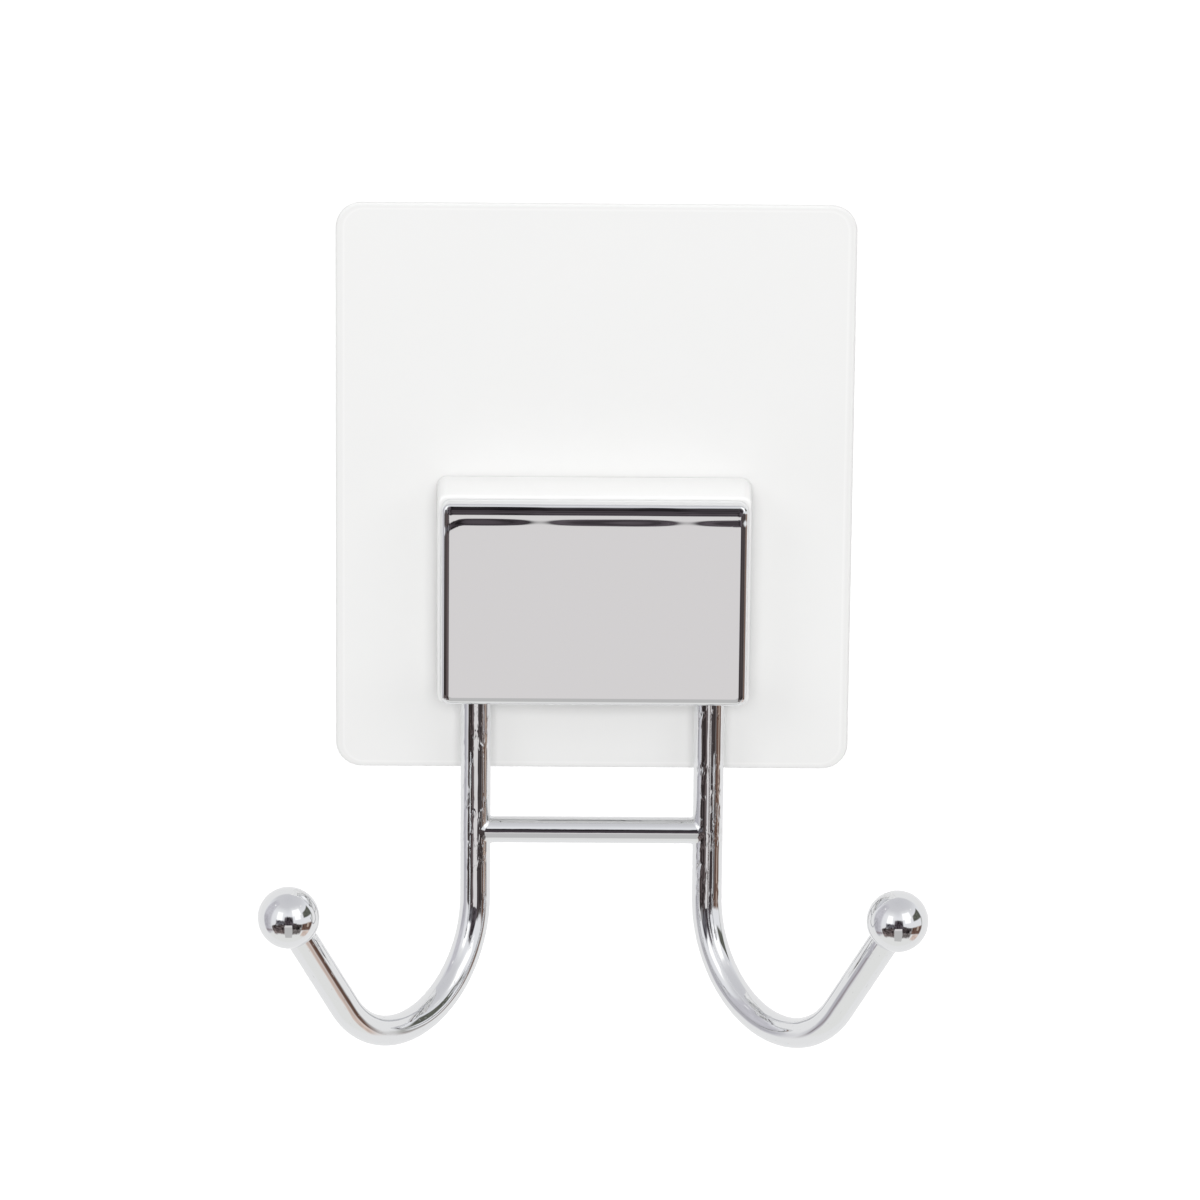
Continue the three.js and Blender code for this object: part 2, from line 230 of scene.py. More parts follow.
def wire_rule():
    """Shape rule for a round wire along a line, which notes how far along and around each point lies."""
    tree = bpy.data.node_groups.new("round wire along a line", "GeometryNodeTree")
    face = tree.interface
    for name, kind in (("Line", "Geometry"), ("Radius", "Float"), ("Sides", "Int"), ("Finish", "Material")):
        face.new_socket(name, in_out="INPUT", socket_type="NodeSocket" + kind)
    face.new_socket("Wire", in_out="OUTPUT", socket_type="NodeSocketGeometry")
    bench = Bench(tree)
    line, radius, sides, finish = bench.node("NodeGroupInput", {}, {}, (0, 1, 2, 3))
    point = {"domain": "POINT"}
    curve = bench.node("GeometryNodeMeshToCurve", {}, {"Mesh": line})
    reach = bench.node("GeometryNodeSplineParameter", {}, {}, "Length")
    curve = bench.node("GeometryNodeStoreNamedAttribute", point, {
        "Geometry": curve, "Name": "along", "Value": reach,
    })
    circle = bench.node("GeometryNodeCurvePrimitiveCircle", {}, {"Resolution": sides, "Radius": radius})
    turn = bench.node("GeometryNodeSplineParameter", {}, {}, "Factor")
    circle = bench.node("GeometryNodeStoreNamedAttribute", point, {
        "Geometry": circle, "Name": "around", "Value": turn,
    })
    wire = bench.node("GeometryNodeCurveToMesh", {}, {
        "Curve": curve, "Profile Curve": circle, "Fill Caps": True,
    })
    wire = bench.node("GeometryNodeRealizeInstances", {}, {"Geometry": wire})
    wire = bench.node("GeometryNodeSetMaterial", {}, {"Geometry": wire, "Material": finish})
    bench.node("NodeGroupOutput", {}, {"Wire": wire})
    return tree


def add_object(name, mesh):
    made = bpy.data.objects.new(name, mesh)
    bpy.context.scene.collection.objects.link(made)
    return made


def settle(made):
    """Turns what an object's modifiers give into its plain mesh."""
    graph = bpy.context.evaluated_depsgraph_get()
    mesh = bpy.data.meshes.new_from_object(
        made.evaluated_get(graph), preserve_all_data_layers=True, depsgraph=graph)
    made.modifiers.clear()
    made.data = mesh


def soften(made):
    """Smooth shading that stops at sharp edges."""
    made.data.polygons.foreach_set("use_smooth", [True] * len(made.data.polygons))
    made.data.set_sharp_from_angle(angle=SHARP_EDGE)


def run_rule(made, tree, values):
    """Gives an object a shape rule with its sizes, and keeps the result as a plain mesh."""
    rule = made.modifiers.new("rule", "NODES")
    rule.node_group = tree
    for item in tree.interface.items_tree:
        if item.in_out == "INPUT" and item.name in values:
            rule[item.identifier] = values[item.name]
    settle(made)


def round_wire(name, points, radius, sides, finish):
    """A round wire through points in millimetres."""
    mesh = bpy.data.meshes.new(name)
    mesh.from_pydata([place(*p) for p in points], [(i, i + 1) for i in range(len(points) - 1)], [])
    made = add_object(name, mesh)
    run_rule(made, WIRE_RULE, {"Radius": radius * MM, "Sides": sides, "Finish": finish})
    soften(made)
    return made


WIRE_RULE = wire_rule()
drawn_chrome = wire_chrome()
for side, word in ((-1, "left"), (1, "right")):
    hook = round_wire(f"hook_wire_{word}", hook_line(side)[0], WIRE_RADIUS, WIRE_SIDES, drawn_chrome)
    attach(hook, "hook_unit")
    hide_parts(f"{word}_hook")

# Cross bar: a straight chrome plated rod, a little thinner than the hook wires. It is welded between the
# legs before plating, and a small even weld fillet runs round each of its ends.
BAR_RADIUS = 2.2
BAR_UP = -56.7
BAR_SIDES = 56
BAR_STEPS = 14
WELD_REACH = 0.5
WELD_SWELL = 0.22
WELD_STEPS = 8
WELD_CURVE = 2.2
SAME_POINT = 1e-7
SPECK_TONE = (0.64, 0.63, 0.63, 1)


def turned_chrome(name):
    """Bright plating on a smooth turned or welded piece."""
    material, bench = new_finish(name)
    spot = bench.object_place()
    cloud = bench.noise(spot, 190, 3)
    ripple = bench.noise(spot, 330, 2)
    specks = bench.noise(spot, 3400, 2, 0.6).rise(0.7, 0.78)
    bench.surface({
        "Base Color": bench.blend(specks * 0.4, CHROME, SPECK_TONE),
        "Metallic": 1.0,
        "Roughness": 0.018 + cloud * 0.02 + specks * 0.12,
        "Normal": bench.bump(ripple, 0.00006, 0.35),
    })
    return material


def skin(name, points, faces, finish):
    """A closed piece from points in millimetres, with its faces turned outwards."""
    mesh = bpy.data.meshes.new(name)
    mesh.from_pydata([place(*p) for p in points], [], faces)
    shape = bmesh.new()
    shape.from_mesh(mesh)
    bmesh.ops.remove_doubles(shape, verts=shape.verts, dist=SAME_POINT)
    bmesh.ops.recalc_face_normals(shape, faces=shape.faces)
    shape.to_mesh(mesh)
    shape.free()
    made = add_object(name, mesh)
    if finish:
        mesh.materials.append(finish)
    soften(made)
    return made


def loft(name, rings, finish):
    """A skin over rings with the same number of points, closed at both ends."""
    count = len(rings[0])
    faces = []
    for row in range(len(rings) - 1):
        for i in range(count):
            a = row * count + i
            b = row * count + (i + 1) % count
            faces.append((a, b, b + count, a + count))
    last = (len(rings) - 1) * count
    faces.append(tuple(reversed(range(count))))
    faces.append(tuple(last + i for i in range(count)))
    return skin(name, [p for ring in rings for p in ring], faces, finish)


def bar_ring(side, share, swell):
    """One ring of the bar: share runs from 0 at the leg's round side to 1 at the bar's middle."""
    radius = BAR_RADIUS + swell
    ring = []
    for i in range(BAR_SIDES):
        angle = 2 * math.pi * i / BAR_SIDES
        depth = radius * math.cos(angle)
        on_leg = LEG_X - math.sqrt(max(WIRE_RADIUS ** 2 - depth ** 2, 0))
        ring.append((side * on_leg * (1 - share), BAR_UP + radius * math.sin(angle), WIRE_OUT + depth))
    return ring


half_bar = []
bare_length = LEG_X - WIRE_RADIUS
for step in range(WELD_STEPS):
    away = WELD_REACH * step / WELD_STEPS
    half_bar.append((away / bare_length, WELD_SWELL * (1 - away / WELD_REACH) ** WELD_CURVE))
weld_end = WELD_REACH / bare_length
half_bar += [(weld_end + (1 - weld_end) * step / BAR_STEPS, 0) for step in range(BAR_STEPS + 1)]
bar_rings = [bar_ring(-1, *row) for row in half_bar] + [bar_ring(1, *row) for row in half_bar[-2::-1]]
bar = loft("cross_rod", bar_rings, turned_chrome("chrome_on_rod"))
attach(bar, "hook_unit")
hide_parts("cross_bar")

# Balls: 10 mm balls pressed on the ends of the wires as a blunt tip, and plated with them. The mouth of
# each socket is slightly rounded where the wire goes in.
BALL_RADIUS = 5.0
SOCKET_RADIUS = 2.56
SOCKET_LIP = 0.22
BALL_SIDES = 96
BALL_STEPS = 60
LIP_STEPS = 6


def turned(name, profile, centre, axis, sides, finish):
    """A closed turned piece: profile rows are a radius and a distance along the axis from the centre."""
    across = axis.orthogonal().normalized()
    other = axis.cross(across)
    points = [centre + axis * profile[0][1]]
    for radius, along in profile[1:-1]:
        for i in range(sides):
            angle = 2 * math.pi * i / sides
            spoke = across * math.cos(angle) + other * math.sin(angle)
            points.append(centre + axis * along + spoke * radius)
    points.append(centre + axis * profile[-1][1])
    faces = []
    rows = len(profile) - 2
    for i in range(sides):
        after = (i + 1) % sides
        faces.append((0, 1 + i, 1 + after))
        for row in range(rows - 1):
            a = 1 + row * sides
            faces.append((a + i, a + i + sides, a + after + sides, a + after))
        a = 1 + (rows - 1) * sides
        faces.append((a + i, len(points) - 1, a + after))
    return skin(name, points, faces, finish)


def ball_profile():
    """Half outline of a ball: its round, the rounded mouth of its socket, and the socket's floor."""
    rows = []
    mouth = SOCKET_RADIUS + SOCKET_LIP
    lip_centre = math.sqrt((BALL_RADIUS - SOCKET_LIP) ** 2 - mouth ** 2)
    last = math.pi - math.asin(mouth / (BALL_RADIUS - SOCKET_LIP))
    for step in range(BALL_STEPS + 1):
        angle = last * step / BALL_STEPS
        rows.append((BALL_RADIUS * math.sin(angle), BALL_RADIUS * math.cos(angle)))
    for step in range(1, LIP_STEPS + 1):
        angle = last + (1.5 * math.pi - last) * step / LIP_STEPS
        rows.append((mouth + SOCKET_LIP * math.sin(angle), -lip_centre + SOCKET_LIP * math.cos(angle)))
    rows.append((SOCKET_RADIUS, -BALL_STOP))
    rows.append((0, -BALL_STOP))
    return rows


ball_chrome = turned_chrome("chrome_on_balls")
for side, word in ((-1, "left"), (1, "right")):
    _, centre, arm = hook_line(side)
    tip = turned(f"ball_tip_{word}", ball_profile(), centre, arm, BALL_SIDES, ball_chrome)
    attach(tip, "hook_unit")
    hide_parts(f"{word}_ball")

# Housing: a moulded white ABS block with drafted sides and a satin sheen. Its front is a shallow tray that
# holds the wires, and its back has the slot for the plate's rail, two weight-saving pockets and screw seats.
HOUSING_SIZE = (52.0, 36.0)
HOUSING_MIDDLE = -15.8
HOUSING_BACK = 2.45
HOUSING_FRONT = 14.45
HOUSING_CORNER = 1.7
HOUSING_ROUND = 0.5
HOUSING_WALL = 3.0
BACK_ROUND = 0.2
DRAFT = math.tan(math.radians(1.7))
LEAST_CORNER = 0.3
CORNER_STEPS = 10
ROUND_STEPS = 8
FLAT_MARGIN = 0.35
SPIGOT_SIZE = (47.588, 31.588)
SPIGOT_FRONT = 15.95
TRAY_CORNER = 1.5
WIRE_ROOM = 2.8
ROOM_SIDES = 42
NOTCH_HALF = 4.05
SLOT_ROOF = -6.15
SLOT_NECK = 11.6
SLOT_HEAD = 17.6
SLOT_LIP_OUT = 3.95
SLOT_FLOOR_OUT = 6.35
SLOT_CHAMFER = 2.0
POCKET_INNER = 10.4
POCKET_FLOOR_OUT = 4.65
SCREW_X = 12.5
SCREW_UP = -22.3
SCREW_SEAT_OUT = 5.35
SEAT_RADIUS = 2.75
SEAT_BOSS = 4.35
SCREW_HOLE = 1.25
OVERCUT = 1.0
HOUSING_WHITE = (0.90, 0.90, 0.895, 1)
HOUSING_SHADE = 0.965


def outline(width, height, corner, middle, out):
    """A rounded rectangle at one distance from the wall."""
    ring = []
    for quarter, (right, top) in enumerate(((1, 1), (-1, 1), (-1, -1), (1, -1))):
        for step in range(CORNER_STEPS + 1):
            angle = (quarter + step / CORNER_STEPS) * math.pi / 2
            ring.append((
                middle[0] + right * (width / 2 - corner) + corner * math.cos(angle),
                middle[1] + top * (height / 2 - corner) + corner * math.sin(angle),
                out,
            ))
    return ring


def moulded_block(name, size, corner, middle, back, front, draft=0.0, back_round=0.0, front_round=0.0):
    """A rounded block with drafted sides and rounded back and front edges."""
    rows = []
    for step in range(ROUND_STEPS if back_round else 0):
        angle = step / ROUND_STEPS * math.pi / 2
        rows.append((back_round * (1 - math.sin(angle)), back + back_round * (1 - math.cos(angle))))
    rows.append((0, back + back_round))
    slope = (front - front_round - back - back_round) * draft
    rows.append((slope, front - front_round))
    for step in range(1, ROUND_STEPS + 1 if front_round else 0):
        angle = step / ROUND_STEPS * math.pi / 2
        inset = slope + front_round * (1 - math.cos(angle))
        rows.append((inset, front - front_round * (1 - math.sin(angle))))
    if back_round:
        rows.insert(0, (back_round + FLAT_MARGIN, back))
    if front_round:
        rows.append((slope + front_round + FLAT_MARGIN, front))
    rings = []
    for inset, out in rows:
        round_now = max(corner - inset, LEAST_CORNER)
        rings.append(outline(size[0] - 2 * inset, size[1] - 2 * inset, round_now, middle, out))
    return loft(name, rings, None)


def prism(name, corners, back, front):
    """A straight bar with the given upright outline."""
    return loft(name, [[(x, up, out) for x, up in corners] for out in (back, front)], None)


def tongue(name, width, top, bottom, chamfer, back, front):
    """A flat bar with chamfered upper corners, for the rail and its slot."""
    half = width / 2
    corners = [(-half, bottom), (half, bottom), (half, top - chamfer), (half - chamfer, top),
               (chamfer - half, top), (-half, top - chamfer)]
    return prism(name, corners, back, front)


def bore(name, radius, x, up, back, front):
    """A round bar straight out of the wall."""
    turns = [2 * math.pi * i / ROOM_SIDES for i in range(ROOM_SIDES)]
    corners = [(x + radius * math.cos(turn), up + radius * math.sin(turn)) for turn in turns]
    return prism(name, corners, back, front)


def work(made, operation, *tools):
    """Joins tools to a piece or cuts them out of it."""
    for tool in tools:
        step = made.modifiers.new("step", "BOOLEAN")
        step.operation = operation
        step.solver = "EXACT"
        step.object = tool
        settle(made)
        bpy.data.objects.remove(tool)
    soften(made)


def wire_rooms():
    """The channels that the housing and the cover leave around both wires."""
    rooms = []
    for side in (-1, 1):
        line = [p for p in hook_line(side)[0] if p.y > HOUSING_BOTTOM]
        line[0] = line[0] - Vector((side * (WIRE_ROOM - WIRE_RADIUS), 0, 0))
        line.append(Vector((side * LEG_X, HOUSING_BOTTOM - 2 * OVERCUT, WIRE_OUT)))
        rooms.append(round_wire("wire_room", line, WIRE_ROOM, ROOM_SIDES, None))
    return rooms


def moulded_white():
    """White moulded plastic: a hint of cloudiness, and the fine grain of the mould in gloss and bump."""
    material, bench = new_finish("white_abs")
    spot = bench.object_place()
    cloud = bench.noise(spot, 55, 3)
    fine = bench.noise(spot, 1900, 3, 0.6)
    shade = tuple(c * HOUSING_SHADE for c in HOUSING_WHITE[:3]) + (1,)
    bench.surface({
        "Base Color": bench.blend(cloud, shade, HOUSING_WHITE),
        "Roughness": 0.25 + cloud * 0.06 + fine * 0.05,
        "IOR": 1.53,
        "Normal": bench.bump(fine, 0.00002, 0.25),
    })
    return material


middle = (0, HOUSING_MIDDLE)
housing = moulded_block("housing_moulding", HOUSING_SIZE, HOUSING_CORNER, middle, HOUSING_BACK, HOUSING_FRONT,
                        DRAFT, BACK_ROUND, HOUSING_ROUND)
spigot = moulded_block("spigot", SPIGOT_SIZE, LEAST_CORNER, middle, WIRE_OUT, SPIGOT_FRONT)
work(housing, "UNION", spigot)
tray_size = [side - 2 * HOUSING_WALL for side in HOUSING_SIZE]
tray = moulded_block("tray", tray_size, TRAY_CORNER, middle, WIRE_OUT, SPIGOT_FRONT + OVERCUT)
work(housing, "DIFFERENCE", tray, *wire_rooms())
slot_bottom = HOUSING_BOTTOM - OVERCUT
slot_neck = tongue("neck", SLOT_NECK, SLOT_ROOF, slot_bottom, SLOT_CHAMFER,
                   HOUSING_BACK - OVERCUT, SLOT_FLOOR_OUT)
slot_head = tongue("head", SLOT_HEAD, SLOT_ROOF, slot_bottom, SLOT_CHAMFER, SLOT_LIP_OUT, SLOT_FLOOR_OUT)
work(housing, "DIFFERENCE", slot_neck, slot_head)
for side in (-1, 1):
    x = side * SCREW_X
    low, high = side * LEG_X - NOTCH_HALF, side * LEG_X + NOTCH_HALF
    notch_low, notch_high = HOUSING_BOTTOM - OVERCUT, HOUSING_BOTTOM + HOUSING_WALL + OVERCUT
    notch = prism("notch", [(low, notch_low), (high, notch_low), (high, notch_high), (low, notch_high)],
                  WIRE_OUT, SPIGOT_FRONT + OVERCUT)
    outer = tray_size[0] / 2
    pocket = moulded_block("pocket", (outer - POCKET_INNER, tray_size[1]), TRAY_CORNER,
                           (side * (outer + POCKET_INNER) / 2, HOUSING_MIDDLE),
                           HOUSING_BACK - OVERCUT, POCKET_FLOOR_OUT)
    work(pocket, "DIFFERENCE", bore("boss", SEAT_BOSS, x, SCREW_UP, 0, SCREW_SEAT_OUT + OVERCUT))
    seat = bore("seat", SEAT_RADIUS, x, SCREW_UP, HOUSING_BACK - OVERCUT, SCREW_SEAT_OUT)
    hole = bore("hole", SCREW_HOLE, x, SCREW_UP, HOUSING_BACK, WIRE_OUT + OVERCUT)
    work(housing, "DIFFERENCE", notch, pocket, seat, hole)
housing.data.materials.append(moulded_white())
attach(housing, "hook_unit")
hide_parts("housing")

# Chrome cover: a moulded shell, plated bright, that closes the front of the housing over the wires. Its edge
# rolls gently into a flat face. The moulding has drawn in a little along the top, which ripples the gloss.
# An edge has the radius at the wall and the wider radius of the roll.
COVER_SIZE = (50.288, 34.288)
COVER_BACK = 14.60
COVER_FRONT = 18.0
COVER_INSIDE = 16.4
COVER_WALL = 1.2
COVER_CORNER = 1.5
ROLL_ANGLE = math.radians(18)
FLAT_ANGLE = math.radians(1)
WALL_ANGLE = math.radians(88.3)
TOP_EDGE = (0.5, 5.0)
SIDE_EDGE = (0.9, 3.2)
BOTTOM_EDGE = (1.25, 1.8)
EDGE_STEPS = 12
ROLL_STEPS = 14
SIDE_STEPS = 90
FACE_INSETS = (0.15, 0.3, 0.45, 0.6, 0.72, 0.84, 0.96, 1.08, 1.2, 1.32, 1.44, 1.56, 1.68, 1.8, 1.95, 2.15,
               2.4, 2.7, 3.0, 3.4, 4.0, 5.2, 7.0, 9.5, 12.0)
RIPPLE_FROM = 0.5
RIPPLE_TO = 1.8
RIPPLE_MEAN = 0.056
RIPPLE_SWING = 0.031
RIPPLE_LENGTH = 24.0
RIPPLE_START = -8.0
RIPPLE_EXTRA = 0.3
RIPPLE_SHIFT = 1.0
RIPPLE_CORNER = (2.2, 4.0)
SADDLE_HALF = 3.9
SADDLE_THICK = 1.6
SADDLE_UP = -12.8
BOSS_RADIUS = 3.2
BOSS_BACK = 9.30
PILOT_FRONT = 15.5
PILOT_RADIUS = 1.25
FACE_CORNER = 0.5
CORNER_SHRINK = 0.7
COVER_SPECK = (0.66, 0.65, 0.65, 1)


def edge_rows(edge, roll):
    """Inset and drop of the cover's edge, from its wall to the flat face."""
    rows = [(0.0, 0.0)]
    angles = [WALL_ANGLE + (ROLL_ANGLE - WALL_ANGLE) * i / EDGE_STEPS for i in range(EDGE_STEPS + 1)]
    angles += [ROLL_ANGLE + (FLAT_ANGLE - ROLL_ANGLE) * i / ROLL_STEPS for i in range(1, ROLL_STEPS + 1)]
    for i in range(1, len(angles)):
        radius = edge if i <= EDGE_STEPS else roll
        inset = rows[-1][0] + radius * (math.sin(angles[i - 1]) - math.sin(angles[i]))
        rise = rows[-1][1] + radius * (math.cos(angles[i]) - math.cos(angles[i - 1]))
        rows.append((inset, rise))
    height = rows[-1][1]
    start = (COVER_FRONT - height - COVER_BACK) * DRAFT
    return [(start + inset, height - rise) for inset, rise in rows]


def cover_ring(insets, drops, corner):
    """One ring of the cover, with its own inset and drop at the top, the sides and the bottom."""
    top, side, bottom = insets
    right = COVER_SIZE[0] / 2 - side
    high = HOUSING_MIDDLE + COVER_SIZE[1] / 2 - top
    low = HOUSING_MIDDLE - COVER_SIZE[1] / 2 + bottom
    ring = []
    for quarter, (x, up) in enumerate(((1, high), (-1, high), (-1, low), (1, low))):
        end_drop = drops[0] if up == high else drops[2]
        inner = corner if up == low else -corner
        corner_points = []
        for step in range(CORNER_STEPS + 1):
            angle = (quarter + step / CORNER_STEPS) * math.pi / 2
            share = math.sin(angle) ** 2
            corner_points.append((
                x * (right - corner) + corner * math.cos(angle),
                up + inner + corner * math.sin(angle),
                COVER_FRONT - drops[1] * (1 - share) - end_drop * share,
            ))
        ring.append(corner_points)
    points = []
    for quarter in range(4):
        points += ring[quarter]
        first, second = Vector(ring[quarter][-1]), Vector(ring[(quarter + 1) % 4][0])
        points += [tuple(first.lerp(second, i / SIDE_STEPS)) for i in range(1, SIDE_STEPS)]
    return points


def smooth_step(value, low, high):
    """0 below low, 1 above high, and a smooth step between them."""
    share = min(max((value - low) / (high - low), 0), 1)
    return share * share * (3 - 2 * share)


def rippled(point, top):
    """The face has drawn in along its upper edge, by an amount that swings along the width."""
    x, up, out = point
    turn = 2 * math.pi * (x - RIPPLE_START) / RIPPLE_LENGTH
    swing = math.cos(turn) + RIPPLE_EXTRA * math.cos(2 * turn + RIPPLE_SHIFT)
    drop, reach = RIPPLE_CORNER
    corner = drop * max(0, 1 - (x + COVER_SIZE[0] / 2) / reach) ** 2
    sink = (RIPPLE_MEAN - RIPPLE_SWING * swing) * (1 - smooth_step(top - up - corner, RIPPLE_FROM, RIPPLE_TO))
    return (x, up, out - sink)


def cover_rings():
    """Rings of the cover from its back rim over the edge to the middle of the face."""
    edges = [edge_rows(*edge) for edge in (TOP_EDGE, SIDE_EDGE, BOTTOM_EDGE)]
    back_drop = COVER_FRONT - COVER_BACK
    rings = [cover_ring((0, 0, 0), (back_drop,) * 3, COVER_CORNER)]
    for rows in zip(*edges):
        insets, drops = zip(*rows)
        rings.append(cover_ring(insets, drops, max(COVER_CORNER - CORNER_SHRINK * insets[1], FACE_CORNER)))
    ends = [edge[-1][0] for edge in edges]
    for more in FACE_INSETS:
        rings.append(cover_ring([end + more for end in ends], (0, 0, 0), FACE_CORNER))
    top = HOUSING_MIDDLE + COVER_SIZE[1] / 2 - ends[0]
    return rings[:1] + [[rippled(point, top) for point in ring] for ring in rings[1:]]


def saddle(side, half, low, high):
    """A block inside the cover that holds one wire in its bed."""
    x = side * LEG_X
    corners = [(x - half, low), (x + half, low), (x + half, high), (x - half, high)]
    return prism("saddle", corners, BOSS_BACK, (COVER_INSIDE + COVER_FRONT) / 2)


def plated_cover():
    """Bright plating on a moulded shell: a mirror face with the faint orange peel of plated plastic."""
    material, bench = new_finish("chrome_on_moulding")
    spot = bench.object_place()
    peel = bench.noise(spot, 130, 2)
    cloud = bench.noise(spot, 45, 3)
    specks = bench.noise(spot, 3000, 2, 0.6).rise(0.71, 0.79)
    bench.surface({
        "Base Color": bench.blend(specks * 0.35, CHROME, COVER_SPECK),
        "Metallic": 1.0,
        "Roughness": 0.02 + cloud * 0.02 + specks * 0.1,
        "Normal": bench.bump(peel, 0.00005, 0.12),
    })
    return material


cover = loft("cover_shell", cover_rings(), None)
hollow_size = [side - 2 * COVER_WALL for side in COVER_SIZE]
hollow = moulded_block("hollow", hollow_size, LEAST_CORNER, middle, COVER_BACK - OVERCUT, COVER_INSIDE)
work(cover, "DIFFERENCE", hollow)
cover_low = HOUSING_MIDDLE - COVER_SIZE[1] / 2
for side in (-1, 1):
    lower = saddle(side, SADDLE_HALF, cover_low + COVER_WALL / 4, cover_low + COVER_WALL)
    upper = saddle(side, WIRE_RADIUS, SADDLE_UP - SADDLE_THICK, SADDLE_UP)
    x = side * SCREW_X
    boss = bore("boss", BOSS_RADIUS, x, SCREW_UP, BOSS_BACK, (COVER_INSIDE + COVER_FRONT) / 2)
    work(cover, "UNION", lower, upper, boss)
    work(cover, "DIFFERENCE", bore("pilot", PILOT_RADIUS, x, SCREW_UP, BOSS_BACK - OVERCUT, PILOT_FRONT))
work(cover, "DIFFERENCE", *wire_rooms())
cover.data.materials.append(plated_cover())
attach(cover, "hook_unit")
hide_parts("chrome_cover")

# Screws: two zinc plated pan-head screws, driven from behind through the housing into the cover's bosses.
# They have a cross recess and a coarse thread for plastic.
SCREW_HEAD_HEIGHT = 1.8
SCREW_CORE = 0.86
SCREW_CREST = 1.1
SCREW_LENGTH = 9.5
SCREW_POINT = 1.5
SCREW_PITCH = 1.0
THREAD_HALF = 0.28
SCREW_HEAD_OUT = 3.4
SCREW_SIDES = 24
THREAD_STEPS = 8
RECESS_HALF = (1.55, 0.36)
RECESS_DEPTH = 1.0
# Head of a screw: radius, and distance from its top.
SCREW_HEAD = ((0.9, 0.0), (1.56, 0.06), (2.1, 0.26), (2.4, 0.54), (2.56, 0.95), (2.6, 1.26), (2.6, 1.72),
              (2.52, SCREW_HEAD_HEIGHT), (SCREW_CORE, SCREW_HEAD_HEIGHT))
ZINC_BLUE = (0.60, 0.62, 0.66, 1)
ZINC_YELLOW = (0.68, 0.66, 0.60, 1)


def screw_profile_row(length_now, angle):
    """Radius of the threaded shank at a distance from the head and an angle around it."""
    phase = (length_now / SCREW_PITCH - angle / (2 * math.pi)) % 1
    crest = max(0, 1 - abs(phase - 0.5) / THREAD_HALF)
    taper = min(1, (SCREW_LENGTH - length_now) / SCREW_POINT)
    return (SCREW_CORE + (SCREW_CREST - SCREW_CORE) * crest) * taper


def screw_blank():
    """One screw at the origin, with its head's top at 0 and its point away from the wall."""
    rings = []
    turns = [2 * math.pi * i / SCREW_SIDES for i in range(SCREW_SIDES)]
    for radius, out in SCREW_HEAD:
        rings.append([(radius * math.cos(turn), radius * math.sin(turn), out) for turn in turns])
    steps = round(SCREW_LENGTH / SCREW_PITCH * THREAD_STEPS)
    for step in range(1, steps):
        length_now = SCREW_LENGTH * step / steps
        ring = []
        for turn in turns:
            radius = screw_profile_row(length_now, turn)
            ring.append((radius * math.cos(turn), radius * math.sin(turn), SCREW_HEAD_HEIGHT + length_now))
        rings.append(ring)
    blank = loft("screw_blank", rings, None)
    long, short = RECESS_HALF
    quarter = ((long, short), (short, short), (short, long))
    mirrored = tuple((-x, up) for x, up in reversed(quarter))
    cross = quarter + mirrored + tuple((-x, -up) for x, up in quarter + mirrored)
    work(blank, "DIFFERENCE", prism("recess", cross, -OVERCUT, RECESS_DEPTH))
    return blank


def screw_rule():
    """Shape rule that puts one screw at every point."""
    tree = bpy.data.node_groups.new("screws at their places", "GeometryNodeTree")
    face = tree.interface
    for name, kind in (("Places", "Geometry"), ("Screw", "Object"), ("Finish", "Material")):
        face.new_socket(name, in_out="INPUT", socket_type="NodeSocket" + kind)
    face.new_socket("Screws", in_out="OUTPUT", socket_type="NodeSocketGeometry")
    bench = Bench(tree)
    places, blank, finish = bench.node("NodeGroupInput", {}, {}, (0, 1, 2))
    screw = bench.node("GeometryNodeObjectInfo", {}, {"Object": blank}, "Geometry")
    row = bench.node("GeometryNodeInstanceOnPoints", {}, {"Points": places, "Instance": screw})
    row = bench.node("GeometryNodeRealizeInstances", {}, {"Geometry": row})
    row = bench.node("GeometryNodeSetMaterial", {}, {"Geometry": row, "Material": finish})
    bench.node("NodeGroupOutput", {}, {"Screws": row})
    return tree


def zinc_finish():
    """Pale zinc plating: satin, with a slight blue and yellow cloud."""
    material, bench = new_finish("zinc_on_steel")
    spot = bench.object_place()
    cloud = bench.noise(spot, 420, 3)
    fine = bench.noise(spot, 5200, 2)
    bench.surface({
        "Base Color": bench.blend(cloud, ZINC_BLUE, ZINC_YELLOW),
        "Metallic": 1.0,
        "Roughness": 0.26 + cloud * 0.14,
        "Normal": bench.bump(fine, 0.00002, 0.3),
    })
    return material


places = bpy.data.meshes.new("cover_screws")
places.from_pydata([place(side * SCREW_X, SCREW_UP, SCREW_HEAD_OUT) for side in (-1, 1)], [], [])
screws = add_object("cover_screws", places)
blank = screw_blank()
run_rule(screws, screw_rule(), {"Screw": blank, "Finish": zinc_finish()})
bpy.data.objects.remove(blank)
soften(screws)
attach(screws, "hook_unit")
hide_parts("left_screw", "right_screw")

# Back plate: a thin milky plastic sheet with rounded corners. The T-shaped hanger rail that carries the
# housing is moulded on its front, and a pale line along the pad's edge is a painted highlight.
PLATE_SIZE = (85.5, 96.0)
PLATE_CORNER = 4.25
PLATE_BACK = 0.95
PLATE_FRONT = 2.15
PLATE_ROUND = 0.5
RAIL_TOP = -6.3
RAIL_END = -27.3
RAIL_NECK = 11.0
RAIL_HEAD = 17.0
RAIL_UNDERSIDE = 4.25
RAIL_FRONT = 6.05
RAIL_CHAMFER = 2.0
RAIL_EDGE = 0.25
PAD_SIZE = (83.5, 94.8)
PAD_CORNER = 3.65
MILKY = (0.84, 0.84, 0.835, 1)
MILKY_RIM = (0.812, 0.812, 0.806, 1)
# Tone of the painted highlight: a pale line along the pad's edge.
MILKY_HIGHLIGHT = (0.90, 0.90, 0.895, 1)
